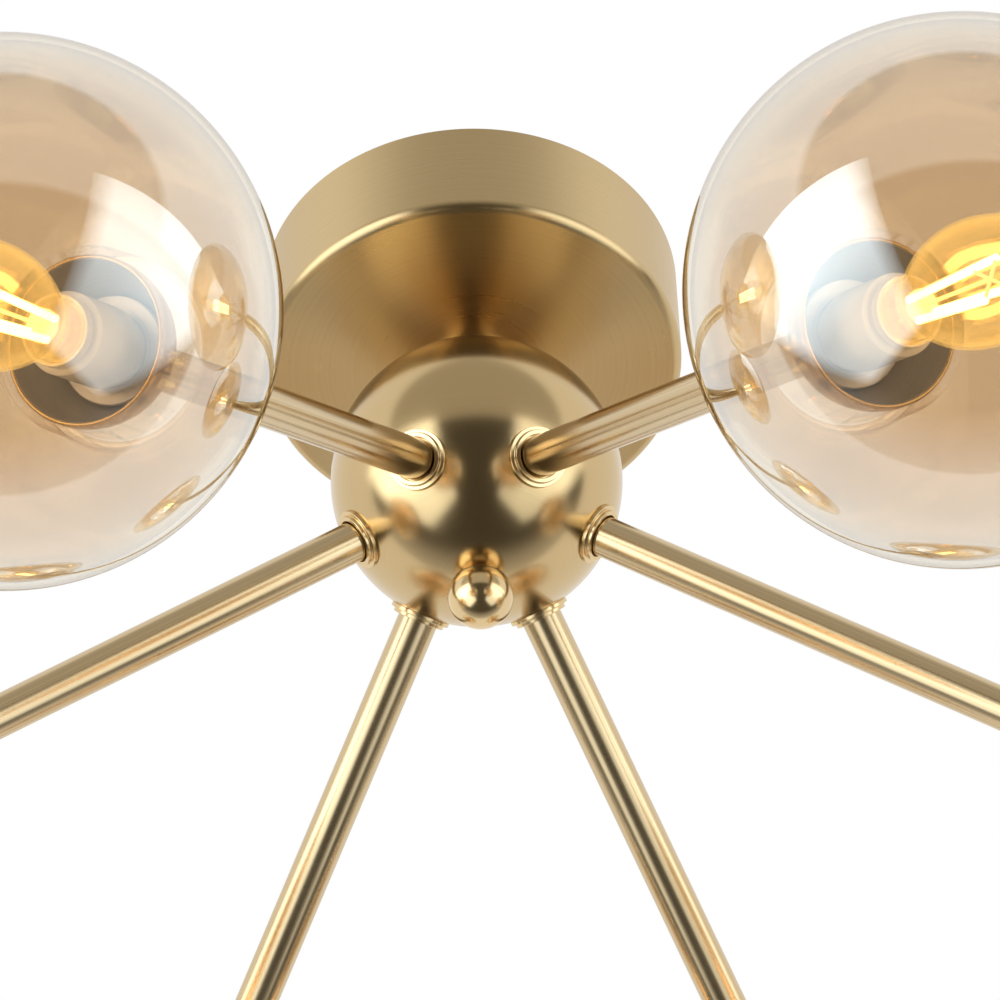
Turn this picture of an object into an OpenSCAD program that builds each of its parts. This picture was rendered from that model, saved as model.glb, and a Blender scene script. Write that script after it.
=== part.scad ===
// Semi-flush ceiling light: a round canopy, a ball hub and drooping tube arms,
// each with a lamp cup that sits inside a clear globe.
// The origin is on the ceiling, in the middle of the canopy, with +Z up.

/* [Canopy] */
// Outside diameter of the canopy
canopy_d = 126; // [124:1:150]
// Height of the canopy under the ceiling
canopy_h = 37; // [34:1:50]
// Sheet thickness of the canopy
canopy_wall = 1.2; // [0.8:0.1:2]
// Radius of the canopy's lower outside edge
canopy_edge_r = 3; // [2.5:0.5:6]

/* [Ceiling bracket] */
// Length of the bracket, end to end
bracket_l = 116; // [112:1:118]
// Width of the bracket's strap
bracket_w = 25; // [18:1:30]
// Thickness of the bracket's strap
bracket_t = 2; // [1.5:0.5:3]
// Depth of the bracket's middle below the ceiling
bracket_drop = 20; // [19:0.5:22]
// Length of the bracket's flat middle
bracket_flat = 60; // [56:1:62]
// Run of each sloping part of the bracket
bracket_slope = 4; // [2:0.5:5]
// Distance between the centres of the two ceiling slots
slot_spacing = 88; // [86:1:92]
// Width of a ceiling slot
slot_w = 5; // [4:0.5:6]
// Length of a ceiling slot, end to end
slot_l = 14; // [8:1:16]

/* [Stem and neck] */
// Outside diameter of the threaded stem
stem_d = 10; // [10:0.5:12]
// Bore of the threaded stem, for the leads
stem_bore_d = 7.2; // [7:0.1:7.6]
// Height of the stem above the bracket
stem_top = 4.5; // [4:0.5:5]
// Length of the stem below its lowest nut
stem_end = 2; // [1:0.5:5]
// Width across the flats of the stem's nuts
nut_flats = 14; // [13:0.5:16]
// Thickness of the stem's nuts
nut_t = 3.5; // [2.5:0.5:4]
// Clear height between the canopy and the top of the hub
neck_gap = 8; // [6:0.5:20]
// Diameter of the neck collar where it meets the hub
neck_d = 18; // [15:0.5:24]
// Diameter of the neck collar's flange under the canopy
neck_flange_d = 27; // [26:0.5:34]
// Thickness of the neck collar's flange
neck_flange_t = 1.8; // [1:0.1:2.5]
// Radius of the hollow curve under the flange
neck_cove_r = 3; // [1.5:0.5:3.5]

/* [Hub] */
// Diameter of the ball hub
hub_d = 86; // [80:1:100]
// Wall of the ball hub
hub_wall = 4; // [3:0.5:5]
// Diameter of the finial ball under the hub
finial_d = 19; // [16:0.5:24]
// How much of the finial ball is cut away by its seat
finial_seat = 1.9; // [1:0.1:2.5]
// Diameter of the finial's stud
finial_stud_d = 6; // [4:0.5:8]
// Length of the finial's stud
finial_stud_l = 9; // [7:0.5:14]
// Radius of the flat on the hub over the finial
finial_spot_r = 6; // [5.5:0.1:7]

/* [Arms] */
// Number of arms
arm_count = 6; // [3:1:6]
// Angle of the arms below the horizontal
arm_droop = 35; // [28:1:38]
// Outside diameter of an arm's tube
arm_d = 12; // [12:0.5:14]
// Wall of an arm's tube
arm_wall = 1; // [0.8:0.1:1.5]
// Distance from the hub's centre to a globe's centre
arm_reach = 293; // [270:1:330]
// Diameter of the threaded ends of an arm
spigot_d = 10; // [9:0.5:10.5]
// Length of the full-wall part inside each end of an arm
arm_plug = 10; // [6:1:20]
// How far an arm's threaded end goes in past the seat on the hub
spigot_in = 4.6; // [3:0.1:6]
// How far an arm's threaded end goes into the lampholder
spigot_out = 9.4; // [7:0.1:9.8]
// Diameter of the wide step of the collar on each arm
collar_d = 18; // [17:0.5:22]
// Thickness of the wide step of the collar
collar_t = 1.3; // [0.8:0.1:2]
// Diameter of the narrow step of the collar
collar_step_d = 15.6; // [14.5:0.1:16.5]
// Thickness of the narrow step of the collar
collar_step_t = 1.2; // [0.8:0.1:2]
// Gap all round between the collar and the tube
collar_gap = 0.45; // [0.2:0.05:0.6]

/* [Lamp cups] */
// Diameter of a lamp cup
cup_d = 45; // [42:0.5:48]
// Wall of a lamp cup
cup_wall = 1.2; // [0.8:0.1:1.6]
// Straight rim ahead of the cup's round back
cup_rim = 3; // [2:0.5:5]
// Diameter of the flat on the back of the cup
cup_flat_d = 14; // [14:0.5:16]
// Depth of the round back's centre inside the globe
cup_set = 24; // [22:0.5:28]

/* [Lampholders] */
// Diameter of the lampholder's body
holder_d = 22; // [21:0.5:24]
// Length of the lampholder from the cup's floor to its mouth
holder_l = 33.5; // [33:0.5:38]
// Diameter of the lampholder's threaded base
holder_base_d = 19.6; // [18:0.1:20]
// Length of the lampholder's threaded base
holder_base_l = 10; // [9:0.5:11]
// Depth of the threaded entry in the base
holder_entry = 9.8; // [9.8:0.1:10.5]
// Diameter of the ring nut that holds the cup
ring_d = 29; // [26:0.5:30]
// Thickness of the ring nut
ring_t = 3; // [2:0.5:3.5]

/* [Bulbs] */
// Diameter of a bulb's screw cap
cap_d = 14; // [13:0.1:15]
// Length of a bulb's screw cap
cap_l = 20; // [18:0.5:21]
// Diameter of the contact at the end of the cap
cap_tip_d = 6; // [5:0.5:8]
// Height of the contact at the end of the cap
cap_tip_l = 2; // [1:0.5:3]
// Diameter of the pale collar between cap and glass
bulb_collar_d = 19; // [19:0.1:21]
// Height of the pale collar
bulb_collar_t = 4; // [3:0.5:6]
// Depth of the seat for the glass in the collar
bulb_seat_t = 3; // [1:0.5:3.5]
// Diameter of the glass at its neck
bulb_neck_d = 17.2; // [16:0.1:17.8]
// Diameter of the glass at its widest
bulb_d = 33; // [28:0.5:37]
// Rise from the neck to the widest part of the glass
bulb_rise = 38; // [34:1:42]
// Radius of the long curve of the glass, seen from the side
bulb_side_r = 50; // [44:1:56]
// Radius of the glass at its tip
bulb_tip_r = 3; // [2:0.5:4]
// Wall of the bulb's glass
bulb_wall = 0.8; // [0.6:0.1:1.2]
// Number of filament rods in a bulb
filament_count = 4; // [2:1:6]
// Diameter of a filament rod
filament_d = 2.2; // [1:0.1:2.6]
// Length of a filament rod
filament_l = 36; // [26:1:38]
// Radius of the circle on which the rods start
filament_r = 4; // [3.5:0.1:4.5]
// Lean of the rods away from the axis, in degrees
filament_lean = 3; // [0:0.5:4]
// Height of the glass stem under the rods
bulb_stem_l = 6; // [4:0.5:8]
// Radius of the glass stem at its top
bulb_stem_r = 3; // [2:0.5:4]
// Thickness of the wires that carry the rods
filament_wire_d = 1; // [0.6:0.1:1.2]

/* [Globes] */
// Diameter of a globe
globe_d = 140; // [136:1:160]
// Wall of a globe
globe_wall = 2; // [1.5:0.1:3]
// Wall of the neck that turns into the globe
globe_neck_wall = 2.4; // [2:0.1:3]
// Radius of the rounded edge around the neck's mouth
globe_lip_r = 1.6; // [1.4:0.1:2]
// Distance from the cup's mouth back to the end of the neck
globe_neck_back = 0.5; // [0.3:0.1:1]

/* [Wiring] */
// Diameter of a lead
lead_d = 2; // [1.4:0.1:2.1]
// Distance of each lead from the stem's axis
lead_ring_r = 2.3; // [2.25:0.05:2.4]
// Bend radius of the leads inside the hub
lead_bend_r = 12; // [8:1:14]
// Bend radius of the innermost lead above the stem
lead_top_bend_r = 4; // [3:0.5:4.5]
// Distance of the terminal block from the last bend
terminal_offset = 5; // [4:0.5:6]
// Length of the terminal block
terminal_l = 16; // [14:0.5:18]
// Width of the terminal block
terminal_w = 20; // [16:1:24]
// Height of the terminal block
terminal_h = 16; // [15.5:0.5:17]
// Number of pairs of terminals
terminal_count = 3; // [2:1:4]
// Diameter of a terminal's screw hole
terminal_hole_d = 3.4; // [2:0.1:4]
// Depth of a terminal's screw hole
terminal_hole_depth = 6; // [3:0.5:8]
// Thread diameter of the earth screw
earth_d = 4; // [3:0.5:5]
// Distance of the earth screw from the stem
earth_x = 19; // [16:0.5:22]

/* [Fits] */
// Radial gap between parts that turn on each other
run_gap = 0.08; // [0.04:0.01:0.1]
// Radial gap round threads and stubs that don't turn
seat_gap = 0.05; // [0.02:0.01:0.1]
// Gap under a part that is screwed home
home_gap = 0.25; // [0.15:0.05:0.3]
// Radial gap between a piece and the edge of the flat that it seats on
spot_gap = 0.2; // [0.1:0.05:0.3]
// Radial gap between the lampholder's base or a nut and the curve beside it
curve_gap = 0.4; // [0.2:0.1:0.5]
// Radial gap where the stem passes through sheet metal
pass_gap = 0.3; // [0.1:0.05:0.5]

/* [Hidden] */
$fn = 96;
eps = 1;
ARM_NODES = ["arm", "lamp_cup", "lampholder", "bulb_cap", "bulb_glass", "bulb_filament", "globe"];

// Sizes along the main axis, all below the ceiling
canopy_face_z = -canopy_h;
hub_r = hub_d / 2;
hub_z = canopy_face_z - neck_gap - hub_r;
hub_inner_r = hub_r - hub_wall;
neck_spot_r = neck_d / 2 + spot_gap;
neck_seat = chord_depth(hub_r, neck_spot_r);
finial_r = finial_d / 2;
finial_spot = chord_depth(hub_r, finial_spot_r);
finial_top_z = hub_z - finial_spot - home_gap;
finial_z = finial_top_z - (finial_r - finial_seat);
nut_corner_r = nut_flats / sqrt(3);
nut_spot_r = nut_corner_r + curve_gap;
stem_top_z = -bracket_drop + stem_top;
stem_end_z = hub_z + hub_inner_r - nut_t - stem_end;

// Sizes along an arm, from the hub's centre outwards
collar_spot_r = collar_d / 2 + spot_gap;
arm_seat = chord_depth(hub_r, collar_spot_r);
cup_r = cup_d / 2;
cup_inner_r = cup_r - cup_wall;
cup_centre = arm_reach - globe_d / 2 + cup_set;
cup_back = cup_centre - chord_depth(cup_r, cup_flat_d / 2);
cup_floor = cup_centre - chord_depth(cup_inner_r, holder_base_d / 2 + curve_gap);
cup_mouth = cup_centre + cup_rim;
holder_mouth = cup_floor + holder_l;
ring_seat = cup_centre - chord_depth(cup_inner_r, ring_d / 2) + home_gap;
arm_end = cup_floor + spigot_out;
bulb_start = holder_mouth + home_gap;
glass_start = bulb_start + bulb_collar_t - bulb_seat_t;
bulb_neck_end = bulb_start + bulb_collar_t;
bulb_widest = bulb_neck_end + bulb_rise;
filament_start = bulb_neck_end + bulb_stem_l;

// Curves of the bulb's glass
bulb_turn = 2 * atan((bulb_d - bulb_neck_d) / 2 / bulb_rise);
bulb_hollow_r = bulb_rise / sin(bulb_turn) - bulb_side_r;
bulb_tip_centre = sqrt(pow(bulb_side_r - bulb_tip_r, 2) - pow(bulb_side_r - bulb_d / 2, 2)) + 0.1;

// Curves of the globe's neck
globe_r = globe_d / 2;
globe_bore_r = cup_r + run_gap;
globe_lip_x = globe_bore_r + globe_lip_r;
globe_lip_z = -chord_depth(globe_r - globe_lip_r, globe_lip_x);
globe_neck_end = cup_mouth - globe_neck_back - arm_reach;

// Route of the leads
lead_turn = 90 - arm_droop;
lead_corner_z = hub_z - lead_ring_r * tan(arm_droop);
lead_tangent = lead_bend_r * tan(lead_turn / 2);
lead_bend_z = lead_corner_z + lead_tangent;
lead_bend_steps = 4;
lead_sides = 8;
lead_top_x = lead_ring_r + lead_top_bend_r;
lead_top_z = stem_top_z + 1;
terminal_x = lead_top_x + terminal_offset;

// Distance from a sphere's centre to the flat circle of radius a on it
function chord_depth(r, a) = sqrt(r * r - a * a);

// Place children on arm i, with +Z along the arm and the hub's centre at zero
module on_arm(i) {
    translate([0, 0, hub_z])
        rotate([0, 0, (i - 1) * 360 / arm_count])
            rotate([0, 90 + arm_droop, 0])
                children();
}

// Turn a profile drawn with x as radius and y as height
module turned() {
    rotate_extrude() children();
}

// Hexagonal nut on the stem, with its top face at height z
module stem_nut(z) {
    color("silver")
        translate([0, 0, z - nut_t])
            difference() {
                cylinder(r = nut_corner_r, h = nut_t, $fn = 6);
                translate([0, 0, -eps])
                    cylinder(d = stem_d + 2 * seat_gap, h = nut_t + 2 * eps);
            }
}

// Flat strap with a lowered middle, held to the ceiling through its two slots
module mounting_bracket() {
    foot_x = bracket_flat / 2 + bracket_slope;
    half = [
        [bracket_flat / 2, -bracket_drop],
        [foot_x, 0],
        [bracket_l / 2, 0],
        [bracket_l / 2, -bracket_t],
        [foot_x + bracket_t, -bracket_t],
        [bracket_flat / 2 + bracket_t, -bracket_drop - bracket_t]];
    outline = concat(half, [for (k = [len(half) - 1:-1:0]) [-half[k].x, half[k].y]]);
    color("silver")
        difference() {
            rotate([90, 0, 0])
                linear_extrude(bracket_w, center = true)
                    polygon(outline);
            translate([0, 0, -bracket_drop - bracket_t - eps])
                cylinder(d = stem_d + 2 * seat_gap, h = bracket_t + 2 * eps);
            translate([-earth_x, 0, -bracket_drop - bracket_t - eps])
                cylinder(d = earth_d + 2 * seat_gap, h = bracket_t + 2 * eps);
            for (side = [-1, 1])
                translate([side * slot_spacing / 2, 0, -bracket_t - eps])
                    ceiling_slot(bracket_t + 2 * eps);
        }
}

// Slot with round ends, along X
module ceiling_slot(h) {
    straight = slot_l - slot_w;
    linear_extrude(h) {
        square([straight, slot_w], center = true);
        for (side = [-1, 1])
            translate([side * straight / 2, 0]) circle(d = slot_w);
    }
}

// Block on the bracket's middle where the supply meets the leads
module terminal_block() {
    pitch = terminal_w / terminal_count;
    color("ivory")
        translate([terminal_x, -terminal_w / 2, -bracket_drop])
            difference() {
                cube([terminal_l, terminal_w, terminal_h]);
                for (k = [0:terminal_count - 1], side = [0.3, 0.75])
                    translate([terminal_l * side, pitch * (k + 0.5), terminal_h - terminal_hole_depth])
                        cylinder(d = terminal_hole_d, h = terminal_hole_depth + eps);
            }
}

// Earth screw, up through the bracket from below
module earth_screw() {
    head_t = earth_d * 0.6;
    color("gold")
        translate([-earth_x, 0, -bracket_drop - bracket_t - head_t])
            difference() {
                union() {
                    cylinder(d = earth_d * 1.8, h = head_t);
                    cylinder(d = earth_d, h = head_t + bracket_t + earth_d * 1.5);
                }
                translate([-earth_d, -earth_d * 0.1, -eps])
                    cube([earth_d * 2, earth_d * 0.2, eps + head_t * 0.4]);
            }
}

// Hollow threaded stem from the bracket down into the hub
module threaded_stem() {
    color("silver")
        translate([0, 0, stem_end_z])
            difference() {
                cylinder(d = stem_d, h = stem_top_z - stem_end_z);
                translate([0, 0, -eps])
                    cylinder(d = stem_bore_d, h = stem_top_z - stem_end_z + 2 * eps);
            }
}

module upper_stem_nut() { stem_nut(-bracket_drop + nut_t); }
module lower_stem_nut() { stem_nut(-bracket_drop - bracket_t); }
module hub_lock_nut() { stem_nut(hub_z + hub_inner_r); }

// Outline of the canopy, taken in by a given thickness
module canopy_outline(inset) {
    r = canopy_d / 2 - inset;
    edge = canopy_edge_r - inset;
    square([r - edge, canopy_h - inset]);
    square([r, canopy_h - inset - edge]);
    translate([r - edge, canopy_h - inset - edge]) circle(r = edge);
}

// Spun cup with a rounded lower edge, open to the ceiling
module canopy() {
    hole_r = stem_d / 2 + pass_gap;
    color("tan")
        mirror([0, 0, 1])
            turned()
                difference() {
                    canopy_outline(0);
                    translate([0, -eps]) square([canopy_d / 2 - canopy_wall, eps * 2]);
                    canopy_outline(canopy_wall);
                    square([hole_r, canopy_h + eps]);
                }
}

// Turned collar on the stem that presses the canopy up and seats on the hub
module neck_collar() {
    bore_r = stem_d / 2 + seat_gap;
    height = canopy_face_z - (hub_z + neck_seat);
    cove_x = neck_d / 2 + neck_cove_r;
    color("tan")
        translate([0, 0, canopy_face_z - height])
            turned()
                difference() {
                    union() {
                        translate([bore_r, 0]) square([neck_d / 2 - bore_r, height]);
                        translate([bore_r, height - neck_flange_t - neck_cove_r])
                            square([cove_x - bore_r, neck_flange_t + neck_cove_r]);
                        translate([bore_r, height - neck_flange_t])
                            square([neck_flange_d / 2 - bore_r, neck_flange_t]);
                    }
                    translate([cove_x, height - neck_flange_t - neck_cove_r]) circle(r = neck_cove_r);
                }
}

// Hollow ball with a flat and a hole for each arm, the stem and the finial
module hub_ball() {
    color("tan")
        difference() {
            translate([0, 0, hub_z])
                difference() {
                    sphere(r = hub_r);
                    sphere(r = hub_inner_r);
                    translate([0, 0, neck_seat]) cylinder(r = neck_spot_r, h = hub_r);
                    cylinder(d = stem_d + 2 * seat_gap, h = hub_r + eps);
                    cylinder(r = nut_spot_r, h = hub_inner_r);
                    mirror([0, 0, 1]) {
                        translate([0, 0, finial_spot]) cylinder(r = finial_spot_r, h = hub_r);
                        cylinder(d = finial_stud_d + 2 * run_gap, h = hub_r + eps);
                    }
                }
            for (i = [1:arm_count])
                on_arm(i) {
                    translate([0, 0, arm_seat]) cylinder(r = collar_spot_r, h = hub_r);
                    cylinder(d = spigot_d + 2 * seat_gap, h = hub_r);
                }
        }
}

// Polished ball under the hub, on a stud that turns in the hub's lowest hole
module finial() {
    color("gold") {
        difference() {
            translate([0, 0, finial_z]) sphere(r = finial_r);
            translate([0, 0, finial_top_z]) cylinder(r = finial_d, h = finial_d);
        }
        translate([0, 0, finial_top_z - eps])
            cylinder(d = finial_stud_d, h = finial_stud_l + eps);
    }
}

// Stepped collar round each arm, flat on the hub
module arm_collars() {
    color("tan")
        for (i = [1:arm_count])
            on_arm(i)
                translate([0, 0, arm_seat])
                    difference() {
                        union() {
                            cylinder(d = collar_d, h = collar_t);
                            cylinder(d = collar_step_d, h = collar_t + collar_step_t);
                        }
                        translate([0, 0, -eps])
                            cylinder(d = arm_d + 2 * collar_gap, h = collar_t + collar_step_t + 2 * eps);
                    }
}

// Straight tube with a threaded end in the hub and one in the lampholder
module arm(i) {
    outer_r = arm_d / 2;
    inner_r = outer_r - arm_wall;
    end_r = spigot_d / 2;
    end_bore_r = stem_bore_d / 2;
    inner_end = arm_seat - spigot_in;
    color("tan")
        on_arm(i)
            turned()
                polygon([
                    [end_bore_r, inner_end], [end_r, inner_end],
                    [end_r, arm_seat], [outer_r, arm_seat],
                    [outer_r, cup_back], [end_r, cup_back],
                    [end_r, arm_end], [end_bore_r, arm_end],
                    [end_bore_r, cup_back - arm_plug], [inner_r, cup_back - arm_plug],
                    [inner_r, arm_seat + arm_plug], [end_bore_r, arm_seat + arm_plug]]);
}

// Profile of a cup's round back and rim, with a given radius and a flat floor
module cup_outline(r, floor_z) {
    depth = cup_centre - floor_z;
    intersection() {
        circle(r = r);
        translate([0, -depth]) square([r, depth]);
    }
    square([r, cup_rim]);
}

// Spun half-round cup on the arm's end, with a rolled rim
module lamp_cup(i) {
    color("tan")
        on_arm(i)
            translate([0, 0, cup_centre])
                turned() {
                    difference() {
                        cup_outline(cup_r, cup_back);
                        cup_outline(cup_inner_r, cup_floor);
                        translate([0, cup_rim - eps]) square([cup_inner_r, 2 * eps]);
                        translate([0, -cup_r]) square([spigot_d / 2 + seat_gap, cup_r]);
                    }
                    translate([cup_inner_r + cup_wall / 2, cup_rim]) circle(d = cup_wall);
                }
}

// Ring nut on the lampholder's base, which clamps the cup
module cup_ring_nuts() {
    color("silver")
        for (i = [1:arm_count])
            on_arm(i)
                translate([0, 0, ring_seat])
                    difference() {
                        cylinder(d = ring_d, h = ring_t);
                        translate([0, 0, -eps])
                            cylinder(d = holder_base_d + 2 * seat_gap, h = ring_t + 2 * eps);
                    }
}

// Small screw lampholder, with its threaded entry on the cup's floor
module lampholder(i) {
    base_r = holder_base_d / 2;
    body_r = holder_d / 2;
    entry_r = spigot_d / 2 + seat_gap;
    bore_r = cap_d / 2 + run_gap;
    bore_depth = cap_l + cap_tip_l + home_gap;
    color("white")
        on_arm(i)
            translate([0, 0, cup_floor])
                turned()
                    polygon([
                        [entry_r, 0], [base_r, 0], [base_r, holder_base_l],
                        [body_r, holder_base_l + (body_r - base_r)],
                        [body_r, holder_l - 1], [body_r - 1, holder_l],
                        [bore_r, holder_l], [bore_r, holder_l - bore_depth],
                        [0, holder_l - bore_depth], [0, holder_entry], [entry_r, holder_entry]]);
}

// Screw cap and pale collar of a bulb
module bulb_cap(i) {
    cap_r = cap_d / 2;
    tip_r = cap_tip_d / 2;
    collar_r = bulb_collar_d / 2;
    seat_r = bulb_neck_d / 2 + seat_gap;
    color("ivory")
        on_arm(i)
            translate([0, 0, bulb_start])
                turned()
                    polygon([
                        [0, -cap_l - cap_tip_l], [tip_r, -cap_l - cap_tip_l], [tip_r, -cap_l - 1],
                        [cap_r - 1, -cap_l], [cap_r, 1 - cap_l], [cap_r, 0], [collar_r - 1, 0],
                        [collar_r, 1], [collar_r, bulb_collar_t], [seat_r, bulb_collar_t],
                        [seat_r, bulb_collar_t - bulb_seat_t], [0, bulb_collar_t - bulb_seat_t]]);
}

// Profile of the bulb's glass, taken in by a thickness. The height is zero where
// the hollow curve over the neck meets the long curve of the side.
module bulb_outline(inset) {
    side_r = bulb_side_r - inset;
    hollow_r = bulb_hollow_r + inset;
    tip_r = bulb_tip_r - inset;
    above = side_r * sin(bulb_turn);
    below = hollow_r * sin(bulb_turn);
    blend_r = bulb_d / 2 - bulb_side_r + side_r * cos(bulb_turn);
    side_top = bulb_tip_centre * (1 + tip_r / (bulb_side_r - bulb_tip_r));
    intersection() {
        translate([bulb_d / 2 - bulb_side_r, above]) circle(r = side_r);
        square([bulb_d / 2, above + side_top]);
    }
    intersection() {
        translate([0, above + bulb_tip_centre]) circle(r = tip_r);
        translate([0, above + bulb_tip_centre]) square(bulb_tip_r);
    }
    difference() {
        translate([0, -below]) square([blend_r, below]);
        translate([bulb_neck_d / 2 + bulb_hollow_r, -below]) circle(r = hollow_r);
    }
    translate([0, -below - bulb_seat_t]) square([bulb_neck_d / 2 - inset, bulb_seat_t + eps]);
}

// Thin glass of a bulb, and the stem inside it
module bulb_glass(i) {
    inner_neck_r = bulb_neck_d / 2 - bulb_wall;
    outer_blend = bulb_rise - bulb_side_r * sin(bulb_turn);
    inner_blend = bulb_rise - (bulb_side_r - bulb_wall) * sin(bulb_turn);
    color("khaki", 0.4)
        on_arm(i) {
            translate([0, 0, bulb_neck_end + outer_blend])
                turned()
                    difference() {
                        bulb_outline(0);
                        translate([0, inner_blend - outer_blend]) bulb_outline(bulb_wall);
                        translate([0, -outer_blend - bulb_seat_t - eps]) square([inner_neck_r, 2 * eps]);
                    }
            translate([0, 0, glass_start])
                turned()
                    polygon([
                        [0, 0], [inner_neck_r - seat_gap, 0], [inner_neck_r - seat_gap, 1],
                        [bulb_stem_r, bulb_seat_t + 1], [bulb_stem_r, bulb_seat_t + bulb_stem_l],
                        [0, bulb_seat_t + bulb_stem_l]]);
        }
}

// Filament rods, with the wires that carry them
module bulb_filament(i) {
    rise = filament_l * cos(filament_lean);
    top_r = filament_r + filament_l * sin(filament_lean);
    wire_r = filament_wire_d / 2;
    color("orange")
        on_arm(i)
            translate([0, 0, filament_start]) {
                cylinder(r = filament_r + wire_r, h = filament_wire_d);
                cylinder(r = wire_r, h = rise + filament_wire_d);
                for (k = [0:filament_count - 1])
                    rotate([0, 0, k * 360 / filament_count]) {
                        translate([filament_r, 0, wire_r])
                            rotate([0, filament_lean, 0])
                                cylinder(d = filament_d, h = filament_l);
                        translate([0, 0, rise])
                            rotate([0, 90, 0])
                                cylinder(r = wire_r, h = top_r);
                    }
            }
}

// Clear globe whose neck turns inwards and screws on the cup's rim
module globe(i) {
    lip_turn = atan2(globe_lip_x, -globe_lip_z);
    far = globe_d;
    color("wheat", 0.35)
        on_arm(i)
            translate([0, 0, arm_reach])
                turned() {
                    difference() {
                        circle(r = globe_r);
                        circle(r = globe_r - globe_wall);
                        translate([-far, -far]) square([far, 2 * far]);
                        polygon([[0, 0], [far * sin(lip_turn), -far * cos(lip_turn)], [0, -far]]);
                    }
                    translate([globe_lip_x, globe_lip_z]) circle(r = globe_lip_r);
                    translate([globe_bore_r, globe_lip_z])
                        square([globe_neck_wall, globe_neck_end - globe_lip_z]);
                    translate([globe_bore_r + globe_neck_wall / 2, globe_neck_end])
                        circle(d = globe_neck_wall);
                }
}

// Vector v turned by an angle about the unit vector k
function turn_about(k, a, v) = v * cos(a) + cross(k, v) * sin(a) + k * (k * v) * (1 - cos(a));

// Stations of the lead to one arm, from the terminal block down the stem and out
// along the arm. Each has its point, and how a level circle is turned there.
function lead_stations(turn) =
    let (
        out = [cos(turn), sin(turn), 0],
        across = [-sin(turn), cos(turn), 0],
        y = lead_ring_r * out.y,
        top_r = lead_top_x - lead_ring_r * out.x,
        last = (cup_floor + holder_entry) * (cos(arm_droop) * out - [0, 0, sin(arm_droop)]))
    concat(
        [[[terminal_x, y, lead_top_z + top_r], [0, 1, 0], 90]],
        [for (k = [0:lead_bend_steps])
            let (a = 90 * (1 - k / lead_bend_steps))
            [[lead_top_x - top_r * cos(a), y, lead_top_z + top_r * sin(a)], [0, 1, 0], a]],
        [for (k = [0:lead_bend_steps])
            let (
                a = lead_turn * k / lead_bend_steps,
                r = lead_ring_r + lead_bend_r * (1 - cos(a)))
            [r * out + [0, 0, lead_bend_z - lead_bend_r * sin(a)], across, -a]],
        [[[0, 0, hub_z] + last, across, -lead_turn]]);

// One lead, swept as a tube through its stations
module lead(turn) {
    stations = lead_stations(turn);
    sides = [0:lead_sides - 1];
    points = [for (s = stations, k = sides)
        let (a = 360 * k / lead_sides)
        s[0] + turn_about(s[1], s[2], lead_d / 2 * [cos(a), sin(a), 0])];
    walls = [for (n = [0:len(stations) - 2], k = sides)
        let (
            upper = n * lead_sides,
            lower = upper + lead_sides,
            next = (k + 1) % lead_sides)
        [upper + k, upper + next, lower + next, lower + k]];
    top = [for (k = sides) lead_sides - 1 - k];
    bottom = [for (k = sides) (len(stations) - 1) * lead_sides + k];
    polyhedron(points, concat([top], walls, [bottom]));
}

// One lead per arm, from the terminal block through the stem to the lampholder
module wiring_leads() {
    color("firebrick")
        for (i = [1:arm_count]) lead((i - 1) * 360 / arm_count);
}

mounting_bracket();
terminal_block();
earth_screw();
threaded_stem();
upper_stem_nut();
lower_stem_nut();
hub_lock_nut();
canopy();
neck_collar();
hub_ball();
finial();
arm_collars();
cup_ring_nuts();
wiring_leads();
for (i = [1:arm_count]) {
    arm(i);
    lamp_cup(i);
    lampholder(i);
    bulb_cap(i);
    bulb_glass(i);
    bulb_filament(i);
    globe(i);
}
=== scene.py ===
"""Finished surfaces for a semi-flush ceiling light with six half-mirrored amber globes.

Lengths are metres. The ceiling is the plane z = 0 and the light hangs below it. Every arm has a frame of its own:
its Z axis leaves the hub's centre and runs out along the arm.
"""

from math import asin, atan2, cos, degrees, pi, radians, sin, sqrt, tau

import bmesh
import bpy
from bpy.props import FloatProperty, FloatVectorProperty, PointerProperty
from bpy.types import Operator, Panel, PropertyGroup
from mathutils import Matrix, Vector


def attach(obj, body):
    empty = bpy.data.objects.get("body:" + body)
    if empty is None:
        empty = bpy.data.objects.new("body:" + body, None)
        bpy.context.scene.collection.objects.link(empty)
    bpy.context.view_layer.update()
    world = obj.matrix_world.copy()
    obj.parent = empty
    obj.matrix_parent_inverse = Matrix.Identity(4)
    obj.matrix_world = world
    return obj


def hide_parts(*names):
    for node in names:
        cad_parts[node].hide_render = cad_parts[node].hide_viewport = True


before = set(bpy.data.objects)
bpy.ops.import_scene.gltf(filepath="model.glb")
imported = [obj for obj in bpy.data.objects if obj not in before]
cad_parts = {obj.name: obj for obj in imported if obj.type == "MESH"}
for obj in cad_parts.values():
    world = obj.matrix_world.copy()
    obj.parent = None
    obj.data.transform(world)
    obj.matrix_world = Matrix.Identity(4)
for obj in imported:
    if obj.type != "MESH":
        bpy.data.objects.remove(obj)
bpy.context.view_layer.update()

bl_info = {
    "name": "Six-Globe Ceiling Light",
    "version": (1, 0, 0),
    "blender": (4, 5, 0),
    "location": "3D View > Sidebar > Ceiling Light",
    "description": "Dresses a semi-flush ceiling light: canopy, ball hub, six arms, amber globes and candle bulbs",
    "category": "Add Mesh",
}

ARMS = range(1, 7)

# Turned shapes: points nearer the axis than ON_AXIS lie on it, and corners sharper than SHARP_EDGE are softened.
ON_AXIS = 1e-6
SHARP_EDGE = radians(24)
EDGE_SOFTENING = 0.00025
TURNED_MAP = "turned"

# Fits that several pieces share: the holes for the stem and the arms' spigots, and the collar of a bulb.
TUBE_HOLE = 0.00505
BULB_COLLAR_HEIGHT = 0.004
BULB_SEAT_DEPTH = 0.003

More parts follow.
